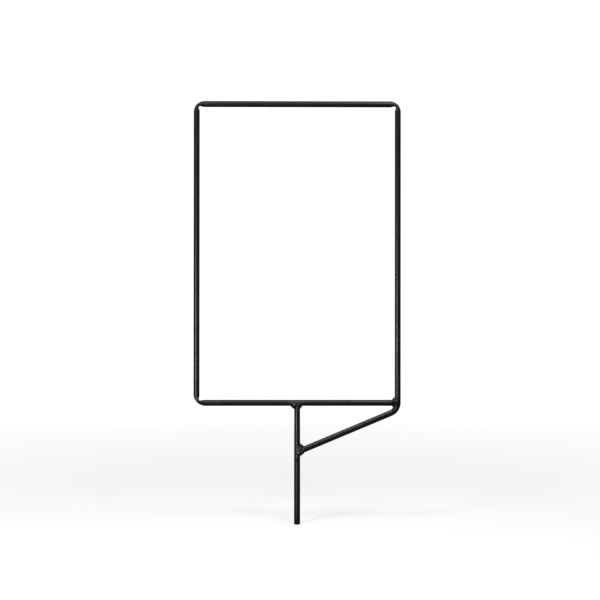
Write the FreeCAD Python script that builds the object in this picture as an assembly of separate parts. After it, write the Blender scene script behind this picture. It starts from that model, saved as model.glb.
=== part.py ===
"""Open flag frame: a welded steel tube loop on a plain grip pin.

The model's frame, in millimetres: the origin is the middle of the pin's lower end, +Z runs up
the pin, +X runs along the bottom bar towards the braced corner, and the loop lies in y = 0.

One length of tube makes the loop and its brace. It starts as the bottom bar, at the braced
corner, goes round three crushed corners, comes down the braced upright, turns through an open
bend and runs on as the brace to the pin.
"""
import FreeCAD, Part
import math
import os

V = FreeCAD.Vector

# The loop and its tube
TUBE_DIAMETER = 9.525          # 3/8 in
TUBE_WALL = 1.2
OPENING_WIDTH = 304.8          # 12 in, between the uprights
OPENING_HEIGHT = 457.2         # 18 in, between the bars

# The crushed corners, whose outer side is an arc and whose inner side is folded
TOP_CORNER_RADIUS = 17.2       # of the outer side
BOTTOM_CORNER_RADIUS = 19.0
CRUSHED_THICKNESS = 4.6        # in the plane of the loop, at the fold
CRUSHED_SPREAD = 1.5           # how much wider the tube is there, out of the plane
FOLD_SHARPNESS = 4.0           # how soon the fold fades along the corner
SECTIONS_TO_FOLD = 5           # lofted steps from each end of a corner to its fold

# The braced corner and the brace
BEND_RADIUS = 18.0             # of the tube's axis
BRACE_CORNER_DROP = 11.4       # bar's axis down to where the brace and upright axes cross
BRACE_FOOT_DROP = 77.2         # bar's axis down to where the brace and pin axes cross

# The pin
PIN_DIAMETER = 9.525           # 3/8 in
PIN_LENGTH = 184.9             # lower end to the underside of the bar
PIN_CHAMFER = 0.5
PIN_TAPER = 0.1                # radius lost between the clamped length and the bar
CLAMP_MARGIN = 2.0             # from the clamped length up to the toe of the brace's weld

# The welds. A leg is how far a weld reaches along a piece from the corner that it fills. Each
# pair gives the leg on the two sides of the branch, and it varies evenly between them.
ROOT_GAP = 0.4                 # between a coped end and what it is welded to
WELD_PITCH = 1.7               # half the length of a ripple, round the joint
WELD_RIPPLE = 0.12             # height of a ripple
WELD_FACE_CROWN = 0.1          # height of the face over a straight line between its toes
WELD_OVERLAY_CROWN = 1.3       # the same where the weld lies over two flush surfaces
WELD_TOE_DEPTH = 0.3           # how deep the uncut toes are under the surfaces
WELD_ROOT_DEPTH = 1.8          # how deep the uncut root is under the corner
PIN_WELD_BAR_LEGS = (5.6, 3.2)         # along the bar: away from the brace, towards it
PIN_WELD_PIN_LEGS = (4.8, 4.8)         # down the pin
BRACE_WELD_PIN_LEGS = (2.8, 7.0)       # along the pin: under the brace, above it
BRACE_WELD_BRACE_LEGS = (8.0, 6.5)     # along the brace
BAR_WELD_UPRIGHT_LEGS = (4.8, 3.0)     # along the upright: above the bar, under it
BAR_WELD_BAR_LEGS = (4.8, 3.0)         # along the bar

# Directions, and places that follow from the sizes
UP = V(0, 0, 1)
LEFT = V(-1, 0, 0)
RIGHT = V(1, 0, 0)
THROUGH = V(0, 1, 0)           # square to the plane of the loop
tube_radius = TUBE_DIAMETER / 2
pin_radius = PIN_DIAMETER / 2
upright_x = OPENING_WIDTH / 2 + tube_radius
bar_z = PIN_LENGTH + tube_radius
top_z = bar_z + OPENING_HEIGHT + TUBE_DIAMETER
pin_foot = V(0, 0, 0)
pin_head = V(0, 0, bar_z)
bar_start = V(-upright_x, 0, bar_z)
bar_end = V(upright_x, 0, bar_z)
upright_top = V(upright_x, 0, top_z)
brace_foot = V(0, 0, bar_z - BRACE_FOOT_DROP)
brace_corner = V(upright_x, 0, bar_z - BRACE_CORNER_DROP)
brace_direction = (brace_corner - brace_foot).normalize()
brace_turn = brace_direction.getAngle(UP)

# The open bend's ends and the middle of its arc
bend_start = brace_corner + UP * BEND_RADIUS * math.tan(brace_turn / 2)
bend_end = brace_corner - brace_direction * BEND_RADIUS * math.tan(brace_turn / 2)
bend_middle = bend_start + LEFT * BEND_RADIUS


def rod(start, end, radius):
    """A straight round rod from one point to another."""
    return Part.makeCylinder(radius, (end - start).Length, start, end - start)


# ---------------------------------------------------------------- the tube

class Corner:
    """A crushed quarter turn of the loop, seen from the middle of its outer arc.

    Its ends are square to the loop in the `first` and `second` directions from there.
    """

    def __init__(self, middle, first, second, outer_radius):
        self.middle = middle
        self.first = first
        self.second = second
        self.outer_radius = outer_radius

    def thickness(self, angle):
        """The tube's size in the plane of the loop, at this angle from the first end."""
        inner_radius = self.outer_radius - TUBE_DIAMETER
        uncrushed = self.outer_radius - inner_radius / math.cos(min(angle, math.pi / 2 - angle))
        deepest = self.outer_radius - inner_radius * math.sqrt(2) - CRUSHED_THICKNESS
        return uncrushed - deepest * math.sin(2 * angle) ** FOLD_SHARPNESS

    def section(self, angle, inset):
        """The tube's outline at this angle, moved inwards by `inset`."""
        thickness = self.thickness(angle)
        crushed = (TUBE_DIAMETER - thickness) / (TUBE_DIAMETER - CRUSHED_THICKNESS)
        width = TUBE_DIAMETER + CRUSHED_SPREAD * crushed
        outward = self.first * math.cos(angle) + self.second * math.sin(angle)
        place = self.middle + outward * (self.outer_radius - thickness / 2)
        long_tip = place + THROUGH * (width / 2 - inset)
        far_tip = place - THROUGH * (width / 2 - inset)
        short_tip = place + outward * (thickness / 2 - inset)
        if math.isclose(width, thickness):
            return Part.Wire(Part.Circle(long_tip, short_tip, far_tip).toShape())
        return Part.Wire(Part.Ellipse(long_tip, short_tip, place).toShape())

    def solids(self, inset):
        """The corner as two lofts that meet at the fold."""
        step = math.pi / 4 / SECTIONS_TO_FOLD
        sections = [self.section(step * i, inset) for i in range(2 * SECTIONS_TO_FOLD + 1)]
        before_fold = Part.makeLoft(sections[:SECTIONS_TO_FOLD + 1], True)
        after_fold = Part.makeLoft(sections[SECTIONS_TO_FOLD:], True)
        return [before_fold, after_fold]


def corners():
    """The crushed corners: at the bottom, at the top, and at the top of the braced upright."""
    loop_left = -upright_x - tube_radius
    bottom_x = loop_left + BOTTOM_CORNER_RADIUS
    bottom_z = bar_z - tube_radius + BOTTOM_CORNER_RADIUS
    top_corner_x = loop_left + TOP_CORNER_RADIUS
    top_corner_z = top_z + tube_radius - TOP_CORNER_RADIUS
    return [
        Corner(V(bottom_x, 0, bottom_z), -UP, LEFT, BOTTOM_CORNER_RADIUS),
        Corner(V(top_corner_x, 0, top_corner_z), LEFT, UP, TOP_CORNER_RADIUS),
        Corner(V(-top_corner_x, 0, top_corner_z), UP, RIGHT, TOP_CORNER_RADIUS),
    ]


def bend(radius):
    """The open bend of the braced corner, for a tube of this radius."""
    disc = Part.Face(Part.Wire(Part.makeCircle(radius, bend_start, UP)))
    return disc.revolve(bend_middle, THROUGH, math.degrees(brace_turn))


def bar(inset):
    """The bottom bar, moved inwards by `inset` and coped to the braced corner."""
    start = V(corners()[0].middle.x, 0, bar_z)
    clear_radius = tube_radius + ROOT_GAP
    braced_corner = [rod(upright_top, bend_start, clear_radius), bend(clear_radius)]
    return rod(start, bar_end, tube_radius - inset).cut(braced_corner)


def tube_rest(inset):
    """The rest of the tube, from the bottom corner to the brace's foot, moved inwards."""
    radius = tube_radius - inset
    bottom, top, braced_top = [corner.middle for corner in corners()]
    pieces = [
        rod(V(-upright_x, 0, bottom.z), V(-upright_x, 0, top.z), radius),
        rod(V(top.x, 0, top_z), V(braced_top.x, 0, top_z), radius),
        rod(V(upright_x, 0, braced_top.z), bend_start, radius),
        bend(radius),
        rod(bend_end, brace_foot, radius),
    ]
    for corner in corners():
        pieces += corner.solids(inset)
    return pieces


def frame_tube():
    """The loop and the brace, hollow, with the brace's foot coped to the pin."""
    outside = bar(0).multiFuse(tube_rest(0))
    bore = bar(TUBE_WALL).multiFuse(tube_rest(TUBE_WALL))
    pin_and_gap = rod(pin_foot, pin_head, pin_radius + ROOT_GAP)
    return outside.cut(bore).cut(pin_and_gap).removeSplitter()


# ---------------------------------------------------------------- the welds

class Joint:
    """Where a round branch leaves a round main, and the weld round it.

    The branch's axis leaves the point `start` of the main's axis in `direction`. An angle of 0
    is on the branch's first side, the one that the first leg of each pair is for.
    """

    def __init__(self, main_line, main_radius, start, direction, branch_radius):
        self.main_line = main_line
        self.main_radius = main_radius
        self.start = start
        self.direction = direction
        self.branch_radius = branch_radius

    def branch_normal(self, angle):
        """The outward direction of the branch's surface at this angle round it."""
        first_side = THROUGH.cross(self.direction)
        return first_side * math.cos(angle) + THROUGH * math.sin(angle)

    def on_axis(self, point):
        """The nearest point of the main's axis."""
        return Part.Vertex(point).distToShape(self.main_line)[1][0][1]

    def corner(self, angle):
        """The point at this angle where the two surfaces meet, found by halving."""
        side = self.start + self.branch_normal(angle) * self.branch_radius
        near = 0.0
        far = 4 * (self.main_radius + self.branch_radius)
        while far - near > 1e-6:
            reach = (near + far) / 2
            point = side + self.direction * reach
            if (point - self.on_axis(point)).Length < self.main_radius:
                near = reach
            else:
                far = reach
        return side + self.direction * near

    def section(self, angle, main_legs, branch_legs, ripple):
        """The weld's outline at this angle: a deep root, two buried toes and a raised face."""
        first_share = (1 + math.cos(angle)) / 2
        main_leg = main_legs[0] * first_share + main_legs[1] * (1 - first_share)
        branch_leg = branch_legs[0] * first_share + branch_legs[1] * (1 - first_share)
        corner = self.corner(angle)
        branch_normal = self.branch_normal(angle)
        main_normal = (corner - self.on_axis(corner)).normalize()
        flush = max(0, branch_normal.dot(main_normal))

        # the way along the main's surface, away from the branch
        away = branch_normal - self.direction * flush
        away = (away - main_normal * away.dot(main_normal)).normalize()
        main_toe = corner + away * main_leg
        axis_point = self.on_axis(main_toe)
        toe_normal = (main_toe - axis_point).normalize()
        main_toe = axis_point + toe_normal * (self.main_radius - WELD_TOE_DEPTH)
        branch_toe = corner + self.direction * branch_leg - branch_normal * WELD_TOE_DEPTH

        outward = (branch_normal + main_normal).normalize()
        crown = WELD_FACE_CROWN * (1 - flush) + WELD_OVERLAY_CROWN * flush
        crown_point = (main_toe + branch_toe) / 2 + outward * (WELD_TOE_DEPTH + crown + ripple)
        root = corner - outward * WELD_ROOT_DEPTH
        face = Part.Arc(main_toe, crown_point, branch_toe).toShape()
        return Part.Wire([face, Part.makeLine(branch_toe, root), Part.makeLine(root, main_toe)])

    def weld(self, main_legs, branch_legs, joined):
        """The rippled ring of weld, cut back to the surfaces of the pieces that it joins."""
        ripples = max(4, round(math.pi * self.branch_radius / WELD_PITCH))
        sections = []
        for i in range(2 * ripples):
            angle = math.pi * i / ripples
            ripple = WELD_RIPPLE / 2 * (-1) ** i
            sections.append(self.section(angle, main_legs, branch_legs, ripple))
        solid, ruled, closed = True, False, True
        return Part.makeLoft(sections, solid, ruled, closed).cut(joined)


# The pin's top under the bar. Its first side faces away from the brace.
pin_joint = Joint(Part.makeLine(bar_start, bar_end), tube_radius, pin_head, -UP, pin_radius)

# The brace's foot on the pin. Its first side is under the brace.
brace_joint = Joint(
    Part.makeLine(pin_foot, pin_head), pin_radius, brace_foot, brace_direction, tube_radius
)


def bar_joint():
    """The bar's end on the braced corner. Its first side is above the bar."""
    arc_point = bend_middle + (brace_corner - bend_middle).normalize() * BEND_RADIUS
    upright = Part.makeLine(upright_top, bend_start)
    arc = Part.Arc(bend_start, arc_point, bend_end).toShape()
    brace = Part.makeLine(bend_end, brace_foot)
    return Joint(Part.Wire([upright, arc, brace]), tube_radius, bar_end, LEFT, tube_radius)


def pin_weld():
    """The weld between the pin's top and the underside of the bar."""
    joined = [rod(bar_start, bar_end, tube_radius), uncoped_pin()]
    return pin_joint.weld(PIN_WELD_BAR_LEGS, PIN_WELD_PIN_LEGS, joined)


def brace_weld():
    """The weld between the brace's foot and the pin."""
    joined = [rod(brace_foot, bend_end, tube_radius), uncoped_pin()]
    return brace_joint.weld(BRACE_WELD_PIN_LEGS, BRACE_WELD_BRACE_LEGS, joined)


def bar_end_weld():
    """The weld between the bar's end and the braced upright."""
    joined = [
        rod(bar_start, bar_end, tube_radius),
        rod(upright_top, bend_start, tube_radius),
        bend(tube_radius),
        rod(bend_end, brace_foot, tube_radius),
    ]
    return bar_joint().weld(BAR_WELD_UPRIGHT_LEGS, BAR_WELD_BAR_LEGS, joined)


# ---------------------------------------------------------------- the pin

def clamp_top():
    """The height at which the clamped length ends, under the toe of the brace's weld."""
    return brace_joint.corner(0).z - BRACE_WELD_PIN_LEGS[0] - CLAMP_MARGIN


def uncoped_pin():
    """The pin before its top is coped: a clamped length, and a slight taper up to the bar."""
    top = V(0, 0, clamp_top())
    taper_height = bar_z - clamp_top()
    taper = Part.makeCone(pin_radius, pin_radius - PIN_TAPER, taper_height, top)
    return rod(pin_foot, top, pin_radius).fuse(taper)


def stem_pin():
    """The solid pin, chamfered at its lower end and coped to the bar."""
    bar_and_gap = rod(bar_start, bar_end, tube_radius + ROOT_GAP)
    pin = uncoped_pin()
    lower_edge = min(pin.Edges, key=lambda edge: edge.BoundBox.ZMax)
    return pin.makeChamfer(PIN_CHAMFER, [lower_edge]).cut(bar_and_gap)


def main():
    """Write one STEP file for each piece, and print the sizes that the record states."""
    pieces = {
        "frame_tube": frame_tube(),
        "stem_pin": stem_pin(),
        "pin_weld": pin_weld(),
        "brace_weld": brace_weld(),
        "bar_end_weld": bar_end_weld(),
    }
    os.makedirs("parts", exist_ok=True)
    for name, shape in pieces.items():
        print(name, len(shape.Solids), shape.isValid(), round(shape.Volume, 1))
        shape.exportStep("parts/" + name + ".step")
    print("clamped length", round(clamp_top() - PIN_CHAMFER, 3))
    print("bar axis", round(bar_z, 3), "top axis", round(top_z, 3))


main()
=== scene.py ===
"""The looks of the open flag frame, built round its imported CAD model.

Lengths are in metres, in the CAD model's frame: the pin's lower end is the origin, +Z is up and
the loop lies in y = 0. The tube, the pin and the welds are modelled again as fine meshes at the
CAD's sizes, because a coarse round tube shows its facets in a long highlight.
"""

import math

import bmesh
import bpy
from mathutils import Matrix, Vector, noise


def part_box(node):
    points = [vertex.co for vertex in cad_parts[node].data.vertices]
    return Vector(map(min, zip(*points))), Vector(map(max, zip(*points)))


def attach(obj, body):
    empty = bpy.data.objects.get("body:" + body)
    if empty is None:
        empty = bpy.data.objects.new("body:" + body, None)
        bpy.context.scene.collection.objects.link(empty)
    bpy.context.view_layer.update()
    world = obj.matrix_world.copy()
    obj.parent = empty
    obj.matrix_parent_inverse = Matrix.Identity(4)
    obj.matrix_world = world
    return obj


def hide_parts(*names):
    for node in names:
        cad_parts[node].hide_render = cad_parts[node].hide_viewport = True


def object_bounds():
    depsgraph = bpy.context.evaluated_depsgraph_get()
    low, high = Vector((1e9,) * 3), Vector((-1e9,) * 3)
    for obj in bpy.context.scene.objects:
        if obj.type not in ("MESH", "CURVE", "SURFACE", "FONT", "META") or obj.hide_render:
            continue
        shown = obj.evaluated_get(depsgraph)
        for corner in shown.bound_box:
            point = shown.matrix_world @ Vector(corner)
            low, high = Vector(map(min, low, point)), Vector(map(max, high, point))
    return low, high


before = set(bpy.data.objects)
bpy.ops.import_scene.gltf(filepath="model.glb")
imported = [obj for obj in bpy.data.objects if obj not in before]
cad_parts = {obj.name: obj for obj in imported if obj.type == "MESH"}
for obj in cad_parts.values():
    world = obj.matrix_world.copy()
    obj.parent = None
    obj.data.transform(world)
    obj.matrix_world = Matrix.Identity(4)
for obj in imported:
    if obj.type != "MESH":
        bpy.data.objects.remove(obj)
cad_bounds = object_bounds()

# The loop's upper right corner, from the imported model
LOOP_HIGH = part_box("frame_tube")[1]

# Sizes that the CAD source also names
TUBE_RADIUS = 0.0047625
PIN_RADIUS = 0.0047625
TOP_CORNER_RADIUS = 0.0172
BOTTOM_CORNER_RADIUS = 0.019
CRUSHED_THICKNESS = 0.0046     # in the plane of the loop, at the fold
CRUSHED_SPREAD = 0.0015        # how much wider the tube is there, out of the plane
FOLD_SHARPNESS = 4             # how soon the fold fades along the corner
OPENING_HEIGHT = 0.4572
BEND_RADIUS = 0.018
BRACE_CORNER_DROP = 0.0114
BRACE_FOOT_DROP = 0.0772
PIN_CHAMFER = 0.0005
PIN_TAPER = 0.0001
CLAMP_TOP = 0.104493
ROOT_GAP = 0.0004
PIN_WELD_BAR_LEGS = (0.0056, 0.0032)
PIN_WELD_PIN_LEGS = (0.0048, 0.0048)
BRACE_WELD_PIN_LEGS = (0.0028, 0.0070)
BRACE_WELD_BRACE_LEGS = (0.0080, 0.0065)
BAR_WELD_UPRIGHT_LEGS = (0.0048, 0.0030)
BAR_WELD_BAR_LEGS = (0.0048, 0.0030)

# What follows from them
UP = Vector((0, 0, 1))
RIGHT = Vector((1, 0, 0))
THROUGH = Vector((0, 1, 0))
UPRIGHT_X = LOOP_HIGH.x - TUBE_RADIUS
TOP_Z = LOOP_HIGH.z - TUBE_RADIUS
BAR_Z = TOP_Z - OPENING_HEIGHT - 2 * TUBE_RADIUS
BAR_END = Vector((UPRIGHT_X, 0, BAR_Z))
PIN_HEAD = Vector((0, 0, BAR_Z))
BRACE_FOOT = Vector((0, 0, BAR_Z - BRACE_FOOT_DROP))
BRACE_CORNER = Vector((UPRIGHT_X, 0, BAR_Z - BRACE_CORNER_DROP))
BRACE_DIRECTION = (BRACE_CORNER - BRACE_FOOT).normalized()
BRACE_TURN = BRACE_DIRECTION.angle(UP)
BEND_TANGENT = BEND_RADIUS * math.tan(BRACE_TURN / 2)
BEND_START = BRACE_CORNER + UP * BEND_TANGENT
BEND_END = BRACE_CORNER - BRACE_DIRECTION * BEND_TANGENT
BEND_MIDDLE = BEND_START - RIGHT * BEND_RADIUS

# The finer form of a crushed corner, which the CAD model leaves out
FOLD_ROUNDING = math.radians(1.5)
DENT_DEPTH = 0.0011
DENT_WIDTH = 0.38              # as a share of half the tube's width
LOBE_SQUARENESS = 0.4
LOBE_SWELL = 0.06

# Where the paint is rough from spatter, and where a painted highlight of light streaks lies just
# under the top folds
JOINTS = (PIN_HEAD, BRACE_FOOT, BAR_END)
FOLD_HIGHLIGHT_X = UPRIGHT_X - 0.0008
FOLD_HIGHLIGHT_Z = TOP_Z - 0.0078
FOLD_HIGHLIGHTS = (Vector((-FOLD_HIGHLIGHT_X, 0, FOLD_HIGHLIGHT_Z)), Vector((FOLD_HIGHLIGHT_X, 0, FOLD_HIGHLIGHT_Z)))

# How finely the tubes are drawn
AROUND = 72                    # points round a tube
RING_SPACING = 0.012           # along a straight run
COPE_RUN = 0.012               # from a tube's last round ring to its coped end


# ---------------------------------------------------------------- meshes

def add_piece(name, points, faces, material, node):
    """Makes a smooth mesh piece that stands for a CAD node."""
    mesh = bpy.data.meshes.new(name)
    mesh.from_pydata([tuple(p) for p in points], [], faces)
    form = bmesh.new()
    form.from_mesh(mesh)
    bmesh.ops.recalc_face_normals(form, faces=form.faces)
    form.to_mesh(mesh)
    form.free()
    mesh.polygons.foreach_set("use_smooth", [True] * len(mesh.polygons))
    mesh.materials.append(material)
    piece = bpy.data.objects.new(name, mesh)
    bpy.context.scene.collection.objects.link(piece)
    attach(piece, "root")
    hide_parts(node)


def skin(rings, closed):
    """Quads over rings of points. Unless it closes on itself, each end gets a fan."""
    count = len(rings[0])
    points = [point for ring in rings for point in ring]
    faces = []
    spans = len(rings) if closed else len(rings) - 1
    for i in range(spans):
        here = i * count
        there = (i + 1) % len(rings) * count
        for k in range(count):
            after = (k + 1) % count
            faces.append((here + k, here + after, there + after, there + k))
    if not closed:
        for ring, start, forward in ((rings[0], 0, False), (rings[-1], spans * count, True)):
            centre = len(points)
            points.append(sum(ring, Vector()) / count)
            for k in range(count):
                edge = (start + k, start + (k + 1) % count)
                faces.append((*edge, centre) if forward else (*reversed(edge), centre))
    return points, faces


# ---------------------------------------------------------------- the tube

def round_ring(place, outward, radius):
    """A circle of points in the plane of `outward` and THROUGH."""
    ring = []
    for k in range(AROUND):
        angle = 2 * math.pi * k / AROUND
        ring.append(place + (outward * math.cos(angle) + THROUGH * math.sin(angle)) * radius)
    return ring


def straight(start, end, outward):
    """Rings along a straight run, without its end ring."""
    steps = max(1, round((end - start).length / RING_SPACING))
    return [round_ring(start.lerp(end, i / steps), outward, TUBE_RADIUS) for i in range(steps)]


def crushed_ring(middle, outward, outer_radius, angle):
    """The tube's outline in a crushed corner: half an ellipse, and two lobes and a dent inside."""
    diameter = 2 * TUBE_RADIUS
    inner_radius = outer_radius - diameter
    fold = math.pi / 4
    from_end = fold - math.hypot(angle - fold, FOLD_ROUNDING)
    uncrushed = outer_radius - inner_radius / math.cos(max(0.0, from_end))
    deepest = outer_radius - inner_radius * math.sqrt(2) - CRUSHED_THICKNESS
    thickness = min(diameter, uncrushed - deepest * math.sin(2 * angle) ** FOLD_SHARPNESS)
    crushed = (diameter - thickness) / (diameter - CRUSHED_THICKNESS)
    width = diameter + CRUSHED_SPREAD * crushed
    centre = middle + outward * (outer_radius - thickness / 2)
    dent = DENT_DEPTH * crushed ** 1.5
    lobe = 1 - LOBE_SQUARENESS * crushed
    swell = 1 + LOBE_SWELL * crushed
    ring = []
    for k in range(AROUND):
        turn = 2 * math.pi * k / AROUND
        across, along = math.sin(turn), math.cos(turn)
        depth = along * thickness / 2
        if along < 0:
            depth = -(-along) ** lobe * thickness / 2 * swell
            depth += dent * math.exp(-(across / DENT_WIDTH) ** 2)
        ring.append(centre + outward * depth + THROUGH * across * width / 2)
    return ring


def crushed_corner(middle, first, second, outer_radius, steps=56):
    """Rings round a crushed corner, without its end ring."""
    rings = []
    for i in range(steps):
        angle = math.pi / 2 * i / steps
        outward = first * math.cos(angle) + second * math.sin(angle)
        rings.append(crushed_ring(middle, outward, outer_radius, angle))
    return rings


def open_bend(steps=28):
    """Rings round the open bend at the braced corner, without its end ring."""
    rings = []
    for i in range(steps):
        angle = BRACE_TURN * i / steps
        outward = RIGHT * math.cos(angle) - UP * math.sin(angle)
        rings.append(round_ring(BEND_MIDDLE + outward * BEND_RADIUS, outward, TUBE_RADIUS))
    return rings


def cope_to_corner(point):
    """The point moved along the bar until it is a root gap away from the braced corner."""
    clear = TUBE_RADIUS + ROOT_GAP
    inward = math.sqrt(clear ** 2 - point.y ** 2)
    drop = BEND_START.z - point.z
    x = UPRIGHT_X - inward
    if drop > 0:
        x = BEND_MIDDLE.x + math.sqrt((BEND_RADIUS - inward) ** 2 - drop ** 2)
    return Vector((x, point.y, point.z))


def cope_to_pin(point):
    """The point moved along the brace until it is a root gap away from the pin."""
    clear = PIN_RADIUS + ROOT_GAP
    reach = (math.sqrt(clear ** 2 - point.y ** 2) - point.x) / BRACE_DIRECTION.x
    return point + BRACE_DIRECTION * reach


def frame_tube(material):
    """The one tube that makes the loop and the brace."""
    loop_left = -UPRIGHT_X - TUBE_RADIUS
    loop_bottom = BAR_Z - TUBE_RADIUS
    bottom = Vector((loop_left + BOTTOM_CORNER_RADIUS, 0, loop_bottom + BOTTOM_CORNER_RADIUS))
    top = Vector((loop_left + TOP_CORNER_RADIUS, 0, LOOP_HIGH.z - TOP_CORNER_RADIUS))
    braced_top = Vector((-top.x, 0, top.z))
    bar_start = BAR_END - RIGHT * COPE_RUN
    foot_start = BRACE_FOOT + BRACE_DIRECTION * COPE_RUN
    brace_outward = THROUGH.cross(BRACE_DIRECTION)

    rings = [[cope_to_corner(point) for point in round_ring(BAR_END, -UP, TUBE_RADIUS)]]
    rings += straight(bar_start, Vector((bottom.x, 0, BAR_Z)), -UP)
    rings += crushed_corner(bottom, -UP, -RIGHT, BOTTOM_CORNER_RADIUS)
    rings += straight(Vector((-UPRIGHT_X, 0, bottom.z)), Vector((-UPRIGHT_X, 0, top.z)), -RIGHT)
    rings += crushed_corner(top, -RIGHT, UP, TOP_CORNER_RADIUS)
    rings += straight(Vector((top.x, 0, TOP_Z)), Vector((braced_top.x, 0, TOP_Z)), UP)
    rings += crushed_corner(braced_top, UP, RIGHT, TOP_CORNER_RADIUS)
    rings += straight(Vector((UPRIGHT_X, 0, braced_top.z)), BEND_START, RIGHT)
    rings += open_bend()
    rings += straight(BEND_END, foot_start, brace_outward)
    rings.append(round_ring(foot_start, brace_outward, TUBE_RADIUS))
    foot_ring = round_ring(BRACE_FOOT, brace_outward, TUBE_RADIUS)
    rings.append([cope_to_pin(point) for point in foot_ring])
    points, faces = skin(rings, closed=False)
    add_piece("loop_and_brace", points, faces, material, "frame_tube")


# ---------------------------------------------------------------- the pin

def turned_ring(height, radius):
    """A level circle of points round the pin's axis."""
    ring = []
    for k in range(AROUND):
        angle = 2 * math.pi * k / AROUND
        ring.append(Vector((radius * math.cos(angle), radius * math.sin(angle), height)))
    return ring


def cope_to_bar(point):
    """The point raised or lowered until it is a root gap away from the bar."""
    clear = TUBE_RADIUS + ROOT_GAP
    return Vector((point.x, point.y, BAR_Z - math.sqrt(clear ** 2 - point.y ** 2)))


def grip_pin(material):
    """The straight pin, turned with a chamfered lower end and coped to the bar."""
    blunt = 0.00004            # how far each edge of the chamfer is worn round
    profile = [
        (0.0, PIN_RADIUS - PIN_CHAMFER - 2.5 * blunt),
        (blunt, PIN_RADIUS - PIN_CHAMFER),
        (PIN_CHAMFER - blunt, PIN_RADIUS - 1.5 * blunt),
        (PIN_CHAMFER + 1.5 * blunt, PIN_RADIUS),
    ]
    spacing, plain_spans, tapered_spans = 0.013, 8, 6
    profile += [(spacing * i, PIN_RADIUS) for i in range(1, plain_spans + 1)]
    neck = BAR_Z - 0.014       # the last round ring under the bar
    for i in range(tapered_spans + 1):
        share = i / tapered_spans
        profile.append((CLAMP_TOP + (neck - CLAMP_TOP) * share, PIN_RADIUS - PIN_TAPER * share))
    rings = [turned_ring(height, radius) for height, radius in profile]
    rings.append([cope_to_bar(point) for point in rings[-1]])
    points, faces = skin(rings, closed=False)
    add_piece("grip_pin", points, faces, material, "stem_pin")


# ---------------------------------------------------------------- the welds

def on_bar(point):
    """The nearest point of the bar's axis."""
    return Vector((point.x, 0, BAR_Z))


def on_pin(point):
    """The nearest point of the pin's axis."""
    return Vector((0, 0, point.z))


def on_braced_corner(point):
    """The nearest point of the axis that the upright, the open bend and the brace share."""
    if point.z >= BEND_START.z:
        return Vector((UPRIGHT_X, 0, point.z))
    along_brace = (point - BEND_END).dot(BRACE_DIRECTION)
    if along_brace <= 0:
        return BEND_END + BRACE_DIRECTION * along_brace
    level = Vector((point.x, 0, point.z))
    return BEND_MIDDLE + (level - BEND_MIDDLE).normalized() * BEND_RADIUS


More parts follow.
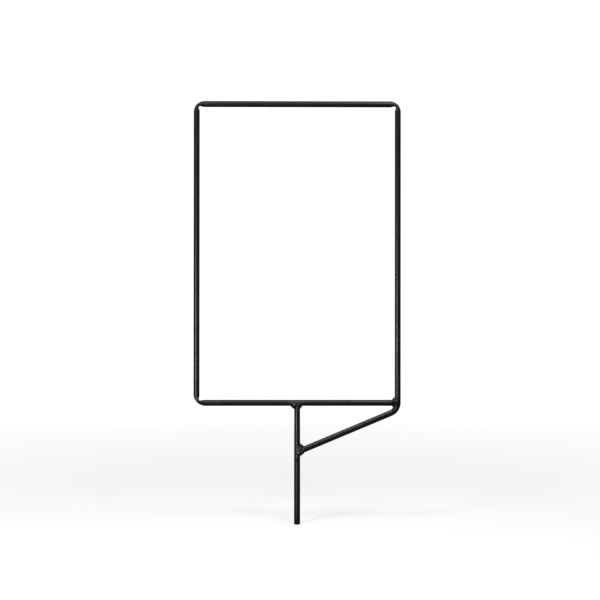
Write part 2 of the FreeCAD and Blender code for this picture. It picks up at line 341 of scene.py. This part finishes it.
class Weld:
    """A ring of weld round a round branch that leaves a round main.

    The branch's axis leaves `start` in `direction`. An angle of 0 is on the branch's first
    side, and each pair of legs is for that side and the other one.
    """
    PITCH = 0.0022             # from one ripple to the next
    RIPPLE = 0.00034           # from a ripple's crest to its foot
    BOW = 0.35                 # how far a ripple runs ahead in the middle, in ripples
    GIRTH = 1.25               # the ring's radius as a share of the branch's
    UNEVEN = 0.0004            # slow rise and fall of the face
    UNEVEN_TOES = 0.00064      # the same in the length of the legs
    UNEVEN_PITCH = 0.0008      # and in where the ripples come
    UNEVEN_SCALE = 2.2         # slow lumps to each radian round the ring
    LANE_SPACING = 7.3         # keeps one slow noise apart from the next
    GRAIN = 0.00016            # height of the fine lumps
    GRAIN_SCALE = 700          # fine lumps to the metre
    FACE_CROWN = 0.0001        # where the two surfaces meet at a right angle
    OVERLAY_CROWN = 0.0013     # where they are flush
    TOE_DEPTH = 0.00012        # how far the toes lie under the surfaces
    ROOT_DEPTH = 0.0009        # and the root under the corner
    STEPS_ROUND = 288
    STEPS_ACROSS = 22

    def __init__(self, on_axis, main_radius, start, direction, branch_radius, seed):
        self.on_axis = on_axis
        self.main_radius = main_radius
        self.start = start
        self.direction = direction
        self.branch_radius = branch_radius
        self.seed = seed

    def branch_normal(self, angle):
        """The outward direction of the branch's surface at this angle round it."""
        first_side = THROUGH.cross(self.direction)
        return first_side * math.cos(angle) + THROUGH * math.sin(angle)

    def corner(self, angle):
        """The point at this angle where the two surfaces meet, found by halving."""
        side = self.start + self.branch_normal(angle) * self.branch_radius
        near = 0.0
        far = 4 * (self.main_radius + self.branch_radius)
        for _ in range(32):
            reach = (near + far) / 2
            point = side + self.direction * reach
            if (point - self.on_axis(point)).length < self.main_radius:
                near = reach
            else:
                far = reach
        return side + self.direction * near

    def wander(self, angle, lane):
        """A slow, even noise round the ring, from -1 to 1. Each lane has its own."""
        around = Vector((math.cos(angle), math.sin(angle), 0)) * self.UNEVEN_SCALE
        return noise.noise(around + UP * (self.seed + self.LANE_SPACING * lane))

    def leg(self, angle, legs, lane):
        """A leg's length at this angle, between its lengths at the two sides."""
        share = (1 + math.cos(angle)) / 2
        even = legs[0] * share + legs[1] * (1 - share)
        return even + self.UNEVEN_TOES * self.wander(angle, lane)

    def toe_on_main(self, corner, away, leg):
        """The weld's edge on the main, a leg away from the corner."""
        beside = corner + away * leg
        axis_point = self.on_axis(beside)
        toe_normal = (beside - axis_point).normalized()
        return axis_point + toe_normal * (self.main_radius - self.TOE_DEPTH)

    def lift(self, angle, across, place, crown):
        """How far the rippled face stands over the straight line from toe to toe."""
        arch = 4 * across * (1 - across)
        travel = angle * self.branch_radius * self.GIRTH
        travel += self.UNEVEN_PITCH * self.wander(angle, 4)
        phase = travel / self.PITCH + self.BOW * arch
        scallop = math.sqrt(abs(math.sin(math.pi * phase)))
        grain = self.GRAIN * noise.noise(place * self.GRAIN_SCALE)
        return (crown + grain) * arch + self.RIPPLE * (scallop - 0.5) * math.sqrt(arch)

    def section(self, angle, main_legs, branch_legs):
        """The weld's outline at this angle: its rippled face, and a root under the corner."""
        corner = self.corner(angle)
        branch_normal = self.branch_normal(angle)
        main_normal = (corner - self.on_axis(corner)).normalized()
        flush = max(0.0, branch_normal.dot(main_normal))
        away = branch_normal - self.direction * flush
        away = (away - main_normal * away.dot(main_normal)).normalized()
        main_toe = self.toe_on_main(corner, away, self.leg(angle, main_legs, 1))
        along_branch = self.direction * self.leg(angle, branch_legs, 2)
        branch_toe = corner + along_branch - branch_normal * self.TOE_DEPTH

        outward = (branch_normal + main_normal).normalized()
        crown = self.FACE_CROWN * (1 - flush) + self.OVERLAY_CROWN * flush + self.TOE_DEPTH
        crown += self.UNEVEN * self.wander(angle, 3)
        outline = []
        for k in range(self.STEPS_ACROSS + 1):
            across = k / self.STEPS_ACROSS
            place = main_toe.lerp(branch_toe, across)
            outline.append(place + outward * self.lift(angle, across, place, crown))
        outline.append(corner - outward * self.ROOT_DEPTH)
        return outline

    def piece(self, material, name, main_legs, branch_legs):
        """The finished ring of weld, which stands for the CAD node of this name."""
        rings = []
        for i in range(self.STEPS_ROUND):
            angle = 2 * math.pi * i / self.STEPS_ROUND
            rings.append(self.section(angle, main_legs, branch_legs))
        points, faces = skin(rings, closed=True)
        add_piece(name + "_bead", points, faces, material, name)


def welds(material):
    """The welds of the pin's top, the brace's foot and the bar's end."""
    under_bar = Weld(on_bar, TUBE_RADIUS, PIN_HEAD, -UP, PIN_RADIUS, seed=1.0)
    under_bar.piece(material, "pin_weld", PIN_WELD_BAR_LEGS, PIN_WELD_PIN_LEGS)
    at_foot = Weld(on_pin, PIN_RADIUS, BRACE_FOOT, BRACE_DIRECTION, TUBE_RADIUS, seed=2.0)
    at_foot.piece(material, "brace_weld", BRACE_WELD_PIN_LEGS, BRACE_WELD_BRACE_LEGS)
    at_end = Weld(on_braced_corner, TUBE_RADIUS, BAR_END, -RIGHT, TUBE_RADIUS, seed=3.0)
    at_end.piece(material, "bar_end_weld", BAR_WELD_UPRIGHT_LEGS, BAR_WELD_BAR_LEGS)


# ---------------------------------------------------------------- materials

class Nodes:
    """A material's node tree, built up from short calls."""

    def __init__(self, name):
        self.material = bpy.data.materials.new(name)
        self.material.use_nodes = True
        self.tree = self.material.node_tree
        self.tree.nodes.clear()
        self.place = self.add("ShaderNodeTexCoord").outputs["Object"]

    def add(self, kind, **settings):
        """A new node with these settings."""
        node = self.tree.nodes.new(kind)
        for setting, value in settings.items():
            setattr(node, setting, value)
        return node

    def join(self, value, socket):
        """Links an output to an input, or sets the input to a plain value."""
        if isinstance(value, bpy.types.NodeSocket):
            self.tree.links.new(value, socket)
        else:
            socket.default_value = value

    def noise(self, scale, detail=3.0, roughness=0.55, place=None):
        """A noise from 0 to 1, with `scale` lumps to the metre."""
        node = self.add("ShaderNodeTexNoise")
        self.join(place or self.place, node.inputs["Vector"])
        node.inputs["Scale"].default_value = scale
        node.inputs["Detail"].default_value = detail
        node.inputs["Roughness"].default_value = roughness
        return node.outputs["Fac"]

    def fit(self, value, from_low, from_high, to_low=0.0, to_high=1.0):
        """The value moved from one range into another, and kept within it."""
        node = self.add("ShaderNodeMapRange")
        for socket, setting in zip(node.inputs, (value, from_low, from_high, to_low, to_high)):
            self.join(setting, socket)
        return node.outputs["Result"]

    def math(self, operation, first, second):
        """The result of one sum on two values."""
        node = self.add("ShaderNodeMath", operation=operation)
        self.join(first, node.inputs[0])
        self.join(second, node.inputs[1])
        return node.outputs["Value"]

    def mix(self, share, first, second):
        """One colour faded into another."""
        node = self.add("ShaderNodeMix", data_type="RGBA")
        inputs = [socket for socket in node.inputs if socket.type == "RGBA"]
        self.join(share, node.inputs["Factor"])
        self.join(first, inputs[0])
        self.join(second, inputs[1])
        return next(socket for socket in node.outputs if socket.type == "RGBA")

    def stretched(self, across, along):
        """Object coordinates with their own scales across and along the height."""
        node = self.add("ShaderNodeMapping")
        self.join(self.place, node.inputs["Vector"])
        node.inputs["Scale"].default_value = (across, across, along)
        return node.outputs["Vector"]

    def height(self):
        """The height over the pin's lower end."""
        node = self.add("ShaderNodeSeparateXYZ")
        self.join(self.place, node.inputs["Vector"])
        return node.outputs["Z"]

    def near(self, places, inner, outer):
        """1 within `inner` of any of the places, fading to 0 at `outer`."""
        closest = 100.0        # farther than anything in the scene
        for place in places:
            node = self.add("ShaderNodeVectorMath", operation="DISTANCE")
            self.join(self.place, node.inputs[0])
            node.inputs[1].default_value = place
            closest = self.math("MINIMUM", closest, node.outputs["Value"])
        return self.fit(closest, inner, outer, 1.0, 0.0)

    def bump(self, height, distance, strength, below=None):
        """A bump, on top of another one if that is given."""
        node = self.add("ShaderNodeBump")
        self.join(height, node.inputs["Height"])
        node.inputs["Distance"].default_value = distance
        node.inputs["Strength"].default_value = strength
        if below:
            self.join(below, node.inputs["Normal"])
        return node.outputs["Normal"]

    def finish(self, colour, roughness, normal, specular):
        """Ends the tree in one Principled shader."""
        shader = self.add("ShaderNodeBsdfPrincipled")
        self.join(colour, shader.inputs["Base Color"])
        self.join(roughness, shader.inputs["Roughness"])
        self.join(normal, shader.inputs["Normal"])
        shader.inputs["Specular IOR Level"].default_value = specular
        output = self.add("ShaderNodeOutputMaterial")
        self.tree.links.new(shader.outputs["BSDF"], output.inputs["Surface"])
        return self.material


BLACK = (0.0060, 0.0064, 0.0072, 1)
WORN_BLACK = (0.0108, 0.0114, 0.0128, 1)
DUST = (0.075, 0.075, 0.07, 1)
# Painted highlight: a lighter grey for streaks just under the top folds
FOLD_HIGHLIGHT_GREY = (0.065, 0.068, 0.07, 1)
BARE_STEEL = (0.12, 0.115, 0.11, 1)
PAINT_SPECULAR = 0.34

# Where wear, spatter and the painted fold highlight are full, and where they end
FOLD_HIGHLIGHT_REACH = (0.0050, 0.0068)    # from a fold
SPATTER_REACH = (0.009, 0.015)     # from a welded joint
WORN_EDGE = (0.0003, 0.0011)       # over the pin's lower end


def bare_places(nodes):
    """1 where the paint has chipped off, or is worn off the pin's lower edge."""
    chips = nodes.fit(nodes.noise(560, 3, 0.55), 0.73, 0.75)
    edge = nodes.fit(nodes.height(), *WORN_EDGE, 1.0, 0.0)
    worn = nodes.fit(nodes.noise(700, 4, 0.6), 0.45, 0.55)
    return nodes.math("MAXIMUM", chips, nodes.math("MULTIPLY", edge, worn))


def paint_colour(nodes, bare):
    """Black, cloudy and a little dusty, with painted highlight streaks at the top folds, and steel
    where it is bare.
    """
    cloud = nodes.fit(nodes.noise(26, 4, 0.6), 0.3, 0.7)
    colour = nodes.mix(cloud, BLACK, WORN_BLACK)
    specks = nodes.fit(nodes.noise(1400, 2, 0.5), 0.62, 0.74)
    drifts = nodes.fit(nodes.noise(60, 3, 0.6), 0.45, 0.7, 0.0, 0.5)
    colour = nodes.mix(nodes.math("MULTIPLY", specks, drifts), colour, DUST)
    # Painted highlight: lighter streaks just under the top folds stand in for glints off the
    # crushed folds
    highlight_streaks = nodes.fit(nodes.noise(1.0, 3, 0.6, nodes.stretched(1300, 260)), 0.55, 0.63)
    fold_highlight = nodes.math("MULTIPLY", highlight_streaks, nodes.near(FOLD_HIGHLIGHTS, *FOLD_HIGHLIGHT_REACH))
    colour = nodes.mix(fold_highlight, colour, FOLD_HIGHLIGHT_GREY)
    return nodes.mix(bare, colour, BARE_STEEL)


def paint_roughness(nodes, smoothest, roughest):
    """Patches from satin to dull, and small rubbed spots that are smoother."""
    patches = nodes.fit(nodes.noise(90, 5, 0.62), 0.25, 0.75, smoothest, roughest)
    rubs = nodes.fit(nodes.noise(230, 6, 0.7), 0.58, 0.72, 0.0, 0.07)
    return nodes.math("SUBTRACT", patches, rubs)


def paint_relief(nodes, peel_height, bare):
    """Orange peel, lumps over the spatter beside the welds, fine grain and the chips' edges."""
    relief = nodes.bump(nodes.noise(1100, 2, 0.5), peel_height, 0.5)
    lumps = nodes.noise(520, 1.5, 0.5)
    spatter = nodes.math("MULTIPLY", lumps, nodes.near(JOINTS, *SPATTER_REACH))
    relief = nodes.bump(spatter, 0.0010, 0.9, relief)
    relief = nodes.bump(nodes.noise(4200, 2, 0.5), 0.00002, 0.35, relief)
    return nodes.bump(nodes.math("SUBTRACT", 1.0, bare), 0.00008, 0.6, relief)


def paint(name, peel_height, smoothest, roughest):
    """Black satin paint over steel, with some wear and painted highlight streaks at the top folds.
    """
    nodes = Nodes(name)
    bare = bare_places(nodes)
    colour = paint_colour(nodes, bare)
    roughness = paint_roughness(nodes, smoothest, roughest)
    relief = paint_relief(nodes, peel_height, bare)
    return nodes.finish(colour, roughness, relief, PAINT_SPECULAR)


# ---------------------------------------------------------------- stage, light and camera

def backdrop_rays(tree):
    """1 for the rays that show the backdrop itself: seen, mirrored or passed on."""
    path = tree.nodes.new("ShaderNodeLightPath")
    rays = path.outputs["Is Camera Ray"]
    for kind in ("Is Glossy Ray", "Is Transmission Ray"):
        either = tree.nodes.new("ShaderNodeMath")
        either.operation = "MAXIMUM"
        tree.links.new(rays, either.inputs[0])
        tree.links.new(path.outputs[kind], either.inputs[1])
        rays = either.outputs[0]
    return rays


def paper(near_glow=0.64, far_glow=0.9, reach=(0.5, 2.0)):
    """Pale paper that is seen as near white, and still shows the object's shadow.

    It glows a little less near the object, where the lamps light it most.
    """
    nodes = Nodes("backdrop_paper")
    glow = nodes.add("ShaderNodeEmission")
    lift = nodes.fit(nodes.near([Vector()], *reach), 0.0, 1.0, far_glow, near_glow)
    nodes.join(nodes.math("MULTIPLY", lift, backdrop_rays(nodes.tree)), glow.inputs["Strength"])
    diffuse = nodes.add("ShaderNodeBsdfDiffuse")
    diffuse.inputs["Color"].default_value = (0.45, 0.45, 0.45, 1)
    both = nodes.add("ShaderNodeAddShader")
    nodes.join(diffuse.outputs["BSDF"], both.inputs[0])
    nodes.join(glow.outputs["Emission"], both.inputs[1])
    output = nodes.add("ShaderNodeOutputMaterial")
    nodes.join(both.outputs["Shader"], output.inputs["Surface"])
    return nodes.material


def add_stage(name, points, faces, material, smooth=True):
    """A sheet that isn't part of the object."""
    mesh = bpy.data.meshes.new(name)
    mesh.from_pydata(points, [], faces)
    mesh.polygons.foreach_set("use_smooth", [smooth] * len(mesh.polygons))
    mesh.materials.append(material)
    sheet = bpy.data.objects.new(name, mesh)
    bpy.context.scene.collection.objects.link(sheet)
    return sheet


def floor_and_backdrop(back, rise, half_width=7.0, front=-6.0, height=6.0, steps=16):
    """A pale floor that curves up into a backdrop behind the object."""
    profile = [(front, 0.0), (back, 0.0)]
    for i in range(1, steps + 1):
        angle = math.pi / 2 * i / steps
        profile.append((back + rise * math.sin(angle), rise * (1 - math.cos(angle))))
    profile.append((back + rise, height))
    points = [(x, y, z) for y, z in profile for x in (-half_width, half_width)]
    faces = [(2 * i, 2 * i + 1, 2 * i + 3, 2 * i + 2) for i in range(len(profile) - 1)]
    add_stage("floor_and_backdrop", points, faces, paper())


def black_cards(side, front, back, top, over_floor=0.001):
    """Black cards round the object and the camera, open to the backdrop.

    The paint then mirrors the softboxes and the backdrop and is dark elsewhere, as it is in
    the photograph. Only mirrored rays meet the cards.
    """
    nodes = Nodes("black_card")
    nodes.finish((0.01, 0.01, 0.01, 1), 0.9, nodes.bump(nodes.noise(300), 0.0001, 0.3), 0.0)
    points = [(x, y, z) for x in (-side, side) for y in (front, back) for z in (over_floor, top)]
    left, right, camera_end = (0, 1, 3, 2), (4, 6, 7, 5), (0, 4, 5, 1)
    overhead, underfoot = (1, 5, 7, 3), (0, 2, 6, 4)
    faces = [left, right, camera_end, overhead, underfoot]
    cards = add_stage("black_cards", points, faces, nodes.material, smooth=False)
    cards.visible_camera = False
    cards.visible_diffuse = False
    cards.visible_shadow = False


def surroundings(strength):
    """Even light from all round, seen as white."""
    world = bpy.data.worlds.new("studio")
    world.use_nodes = True
    tree = world.node_tree
    tree.nodes.clear()
    light = tree.nodes.new("ShaderNodeBackground")
    light.inputs["Color"].default_value = (1, 1, 1, 1)
    power = tree.nodes.new("ShaderNodeMapRange")
    power.inputs["To Min"].default_value = strength
    power.inputs["To Max"].default_value = 1.0
    tree.links.new(backdrop_rays(tree), power.inputs["Value"])
    tree.links.new(power.outputs["Result"], light.inputs["Strength"])
    output = tree.nodes.new("ShaderNodeOutputWorld")
    tree.links.new(light.outputs["Background"], output.inputs["Surface"])
    bpy.context.scene.world = world


def softbox(name, place, aim, size, watts):
    """A soft light that faces a point."""
    light = bpy.data.lights.new(name, "AREA")
    light.shape = "RECTANGLE"
    light.size, light.size_y = size
    light.energy = watts
    lamp = bpy.data.objects.new(name, light)
    lamp.location = place
    lamp.rotation_euler = (Vector(aim) - Vector(place)).to_track_quat("-Z", "Y").to_euler()
    lamp.visible_camera = False
    bpy.context.scene.collection.objects.link(lamp)


def camera(from_middle, degrees, focal_length):
    """A camera at this place from the object's middle, turned by these angles."""
    low, high = cad_bounds
    lens = bpy.data.cameras.new("camera")
    lens.sensor_width = 36.0
    lens.lens = focal_length
    eye = bpy.data.objects.new("camera", lens)
    eye.location = (low + high) / 2 + Vector(from_middle)
    eye.rotation_euler = [math.radians(turn) for turn in degrees]
    bpy.context.scene.collection.objects.link(eye)
    bpy.context.scene.camera = eye


black_paint = paint("black_paint", peel_height=0.00003, smoothest=0.25, roughest=0.37)
painted_weld = paint("painted_weld", peel_height=0.00022, smoothest=0.18, roughest=0.36)
frame_tube(black_paint)
grip_pin(black_paint)
welds(painted_weld)

floor_and_backdrop(back=1.6, rise=1.0)
black_cards(side=1.6, front=-2.8, back=1.5, top=2.4)
surroundings(strength=0.2)
softbox("upper_right_softbox", place=(0.45, -1.0, 1.75), aim=(0.0, 0.0, 0.35),
        size=(0.6, 0.6), watts=16)
softbox("upper_left_softbox", place=(-0.5, -0.85, 1.55), aim=(0.08, 0.0, 0.15),
        size=(0.3, 0.3), watts=9.5)
softbox("low_left_softbox", place=(-0.92, -1.66, 0.2), aim=(0.0, 0.0, 0.25),
        size=(0.35, 0.36), watts=18)
camera(from_middle=(-0.0138, -2.0, 0.0131), degrees=(90.19, -0.04, -0.52), focal_length=76.8)
bpy.context.scene.view_settings.view_transform = "Standard"
